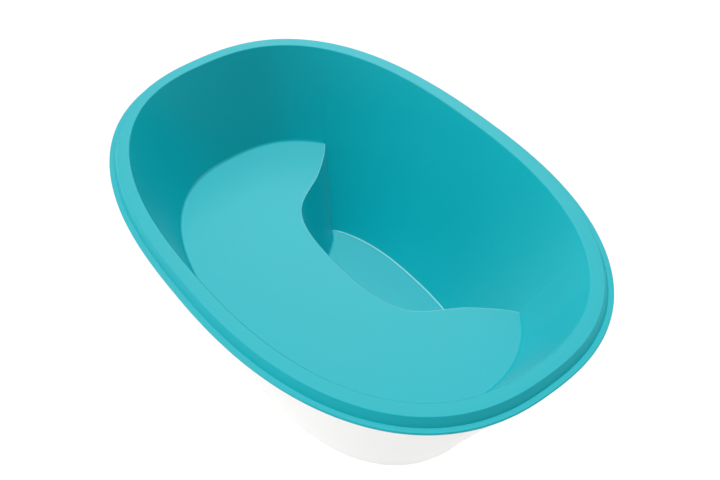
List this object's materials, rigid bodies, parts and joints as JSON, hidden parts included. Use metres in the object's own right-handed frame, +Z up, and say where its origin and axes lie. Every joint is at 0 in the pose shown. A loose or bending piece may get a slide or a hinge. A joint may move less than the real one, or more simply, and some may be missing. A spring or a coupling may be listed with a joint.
{
  "type": "baby bathtub",
  "caption": "Oval baby bathtub with a stepped rim, deep tapered walls, a raised half-depth ledge and a floor pocket, in a double-wall casing with a lift-out drain plug.",
  "frame": {"origin": "centre of the bath's footprint, on the surface that the feet stand on", "axes": "+X along the bath toward the drain's end, -Y toward the ledge side, +Z up"},
  "size_m": [0.68, 0.45, 0.274],
  "materials": {
    "teal_plastic": "satin",
    "white_plastic": "satin",
    "pale_plastic": "satin",
    "dark_rubber": "matte",
    "grey_rubber": "matte",
    "screw_steel": "brushed"
  },
  "bodies": {
    "bath": {"inner_basin": "teal_plastic", "outer_casing": "white_plastic", "rim_seal": "grey_rubber", "post_left": "white_plastic", "post_right": "white_plastic", "drain_body": "pale_plastic", "drain_gasket": "dark_rubber", "drain_nut": "pale_plastic", "outlet_grommet": "dark_rubber", "foot_front_left": "grey_rubber", "foot_front_right": "grey_rubber", "foot_rear_left": "grey_rubber", "foot_rear_right": "grey_rubber", "base_screws": "screw_steel"},
    "plug": {"drain_plug": "teal_plastic", "plug_seal": "dark_rubber"}
  },
  "joints": [
    {"name": "plug_lift", "type": "slide", "parent": "bath", "child": "plug", "axis": [0, 0, 1], "range_m": [0, 0.09]}
  ]
}
